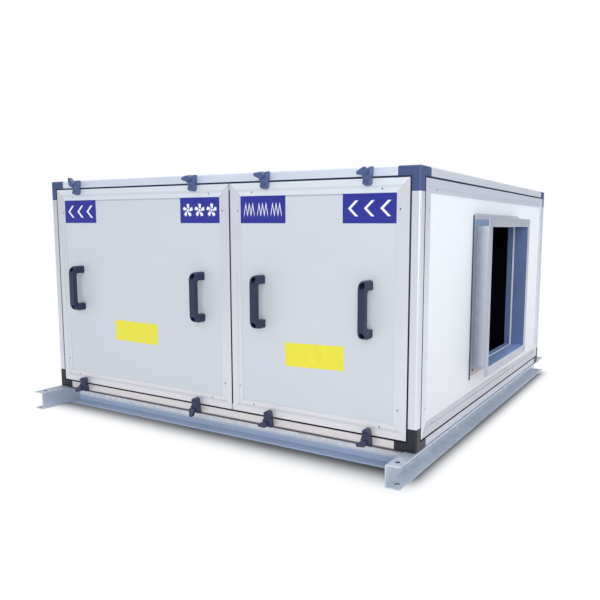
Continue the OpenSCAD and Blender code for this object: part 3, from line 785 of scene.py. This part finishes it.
# %% Beads, foot rivets and caps
END_FACE = CASING_HIGH.x - SHEET_RECESS
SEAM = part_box("right_door_border")[0].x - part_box("left_door_border")[1].x
BEAD, BEAD_RISE = 1 * MM, 5 * MM
RIM, RIM_RISE, RIM_SHIFT = 1 * MM, 4 * MM, 3 * MM
FOOT_FACE, RIVET_LINE, RIVET_PLACES = 2 * MM, FOOT - 17 * MM, (-190 * MM, -64 * MM, 64 * MM, 190 * MM)
CORNER = DUCT + 12 * MM
FOOT_RIVET, CORNER_SCREW = (3 * MM, 1.8 * MM, 1.4 * MM), (4 * MM, 3.4 * MM, 3 * MM)
CAP, CAP_THICKNESS, CAP_LEVEL = 18 * MM, 4 * MM, -3 * MM
beads, foot_rims, foot_rivets, corner_screws, caps = (bmesh.new() for _ in range(5))
for side in (1, -1):
    face = Matrix.Translation((side * END_FACE, 0, CASING_MIDDLE.z)) @ Matrix(
        ((0, 0, side), (side, 0, 0), (0, 1, 0))).to_4x4()
    for turn in range(4):
        edge = face @ Matrix.Rotation(turn * math.pi / 2, 4, "Z")
        block(beads, edge, (0, DUCT - BEAD / 2, 0), (2 * DUCT - 2 * BEAD, BEAD, BEAD_RISE))
        if turn % 2:
            block(foot_rims, edge, ((turn - 2) * RIM_SHIFT, FOOT + RIM / 2, RIM_RISE / 2),
                  (2 * FOOT - 2 * RIM_SHIFT, RIM, RIM_RISE))
        for x in RIVET_PLACES:
            button(foot_rivets, edge, (x, RIVET_LINE, FOOT_FACE), *FOOT_RIVET)
        if turn > 1:
            button(corner_screws, edge, (CORNER, CORNER, FOOT_FACE), *CORNER_SCREW)
for panel in (panels[0], panels[3]):
    for y in (CAP / 2, panel.height - CAP / 2):
        block(caps, panel.matrix, (panel.width + SEAM / 2, y, CAP_LEVEL), (SEAM, CAP, CAP_THICKNESS))
piece(beads, "collar_beads", vinyl("sealant_white", "#e6eaf1"))
# A dark grey strip beside each upright side of the foot.
piece(foot_rims, "collar_foot_strips", foam_rubber("dark_foot_strip", "#4b5264"))
piece(foot_rivets, "collar_rivets", ZINC)
piece(corner_screws, "collar_corner_screws", zinc_plate("zinc_plated_dark", "#57504c"))
piece(caps, "joint_caps", anodised_aluminium("anodised_aluminium_caps", "#d3d6df"))

# %% [markdown]
# ## Handle screws
# A cap screw sits at the bottom of each counterbore of the bridge handles. Only its round head shows,
# which narrows a little towards its top, so one cone is enough.

# %% Handle screws
HANDLE_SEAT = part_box("left_door_handles")[1].y
HANDLE_HALF, SCREW_Z, SCREW_FLOOR = 10 * MM, 63 * MM, 8 * MM
SCREW, SCREW_TOP, SCREW_RISE, SCREW_SEGMENTS = 5 * MM, 4.6 * MM, 5 * MM, 18
screws = bmesh.new()
handle_xs = []
for door in ("left_door_handles", "right_door_handles"):
    low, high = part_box(door)
    handle_xs += [low.x + HANDLE_HALF, high.x - HANDLE_HALF]
for x in handle_xs:
    for z in (CASING_MIDDLE.z - SCREW_Z, CASING_MIDDLE.z + SCREW_Z):
        front = Matrix.Translation((x, HANDLE_SEAT - SCREW_FLOOR, z)) @ Matrix.Rotation(math.pi / 2, 4, "X")
        button(screws, front, (0, 0, 0), SCREW, SCREW_TOP, SCREW_RISE, SCREW_SEGMENTS)
piece(screws, "handle_screws", ZINC)

# %% [markdown]
# ## The stage
# A pale floor runs out of sight and turns white a short way from the casing, as in a picture shot on
# white paper, so only the soft shadow close to the object stays. Close to the casing the paper is also
# painted grey, a painted shadow that is shorter on the left and deeper on the right. For light that
# bounces the paper is pale right up to the casing, so it throws light back under it. A large soft lamp
# from the front right lights both faces, a second one adds a little on the inlet end, a weak one
# overhead lights the top, and a sky that is brightest overhead fills the rest.

# %% Floor
FLOOR_RADIUS, FLOOR_DROP, FLOOR_SEGMENTS = 40.0, 0.5 * MM, 96
floor_mesh = bmesh.new()
bmesh.ops.create_circle(floor_mesh, cap_ends=True, segments=FLOOR_SEGMENTS, radius=FLOOR_RADIUS)
floor_data = bpy.data.meshes.new("floor")
floor_mesh.to_mesh(floor_data)
floor_mesh.free()
floor = bpy.data.objects.new("floor", floor_data)
floor.location.z = -FLOOR_DROP
bpy.context.scene.collection.objects.link(floor)
print("floor radius", FLOOR_RADIUS)

# %% Paper
SHADOW_REACH, GREY_REACH, END_STRETCH = 0.15, 0.12, 2.5
SIDE_LIMIT = 1.0
REACH_SLOPE, REACH_MIDDLE = -0.4, 1.2
DEPTH_SLOPE, DEPTH_MIDDLE = -0.17, 0.24
PAPER = 0.90
paper = bpy.data.materials.new("paper_with_painted_shadow")
paper.use_nodes = True
tree = paper.node_tree
tree.nodes.remove(tree.nodes["Principled BSDF"])
place = add(tree, "ShaderNodeTexCoord").outputs["Object"]
folded = add(tree, VECTOR_MATH, [place], operation="ABSOLUTE")
beyond = add(tree, VECTOR_MATH, [folded, CASING_HALF], operation="SUBTRACT")
beyond = add(tree, VECTOR_MATH, [beyond, (0, 0, 0)], operation="MAXIMUM")
scaled = add(tree, VECTOR_MATH, [beyond, (END_STRETCH, 1, 0)], operation="MULTIPLY")
reach = add(tree, VECTOR_MATH, [scaled], operation="LENGTH").outputs["Value"]
along = add(tree, "ShaderNodeSeparateXYZ", [place]).outputs[0]
along = add(tree, "ShaderNodeClamp", {"Value": along, "Min": -SIDE_LIMIT, "Max": SIDE_LIMIT})
longer = add(tree, MATH, [along, REACH_SLOPE, REACH_MIDDLE], operation="MULTIPLY_ADD")
reach = add(tree, MATH, [reach, longer], operation="MULTIPLY")
deepest_shadow = add(tree, MATH, [along, DEPTH_SLOPE, DEPTH_MIDDLE], operation="MULTIPLY_ADD")
fade = add(tree, "ShaderNodeMapRange", {"Value": reach, "From Min": 0.0, "From Max": SHADOW_REACH},
           interpolation_type="SMOOTHSTEP")
# Painted shadow: close to the casing the paper's colour is grey, darkest at the casing.
grey = add(tree, "ShaderNodeMapRange", {"Value": reach, "From Min": 0.0, "From Max": GREY_REACH,
                                        "To Min": deepest_shadow, "To Max": PAPER})
rays = add(tree, "ShaderNodeLightPath").outputs
seen = add(tree, MATH, [rays["Is Camera Ray"], rays["Is Glossy Ray"]], operation="MAXIMUM")
seen = add(tree, MATH, [seen, rays["Is Transmission Ray"]], operation="MAXIMUM")
share = add(tree, MATH, [seen, fade], operation="MULTIPLY")
bounce = add(tree, MATH, [rays["Is Diffuse Ray"], PAPER], operation="MULTIPLY")
grey = add(tree, MATH, [grey, bounce], operation="MAXIMUM")
matt = add(tree, "ShaderNodeBsdfDiffuse", {"Color": grey})
white = add(tree, "ShaderNodeEmission", {"Color": linear("#ffffff"), "Strength": 1.0})
mixed = add(tree, "ShaderNodeMixShader", [share, matt, white])
tree.links.new(mixed.outputs[0], tree.nodes["Material Output"].inputs["Surface"])
floor_data.materials.append(paper)
print(paper.name, "on", floor.name)

# %% Light
HORIZON, ZENITH = 0.27, 1.55
world = bpy.data.worlds.new("studio")
bpy.context.scene.world = world
world.use_nodes = True
tree = world.node_tree
rays = add(tree, "ShaderNodeLightPath").outputs
seen = add(tree, MATH, [rays["Is Camera Ray"], rays["Is Transmission Ray"]], operation="MAXIMUM")
fill = tree.nodes["Background"]
fill.inputs["Color"].default_value = linear("#ebeff8")
way = add(tree, "ShaderNodeTexCoord").outputs["Generated"]
up = add(tree, "ShaderNodeSeparateXYZ", [way]).outputs[2]
steep = add(tree, MATH, [up, up], operation="MULTIPLY")
sky = add(tree, MATH, [steep, ZENITH - HORIZON, HORIZON], operation="MULTIPLY_ADD")
tree.links.new(sky.outputs[0], fill.inputs["Strength"])
white = add(tree, "ShaderNodeBackground", {"Color": linear("#ffffff"), "Strength": 1.0})
mixed = add(tree, "ShaderNodeMixShader", [seen, fill, white])
tree.links.new(mixed.outputs[0], tree.nodes["World Output"].inputs["Surface"])


def soft_lamp(name, place, size, power):
    """Adds a square lamp that faces the casing's middle."""
    data = bpy.data.lights.new(name, "AREA")
    data.size = size
    data.energy = power
    lamp = bpy.data.objects.new(name, data)
    lamp.location = place
    lamp.rotation_euler = (CASING_MIDDLE - Vector(place)).to_track_quat("-Z", "Y").to_euler()
    bpy.context.scene.collection.objects.link(lamp)
    print(name, "lamp", power, "W")


soft_lamp("key", place=(3.2, -7.4, 2.3), size=4.2, power=243)
soft_lamp("end_fill", place=(3.9, 0.3, 2.0), size=2.5, power=31)
soft_lamp("overhead", place=(0.4, 1.0, 3.4), size=2.5, power=36)
bpy.context.scene.view_settings.view_transform = "Standard"
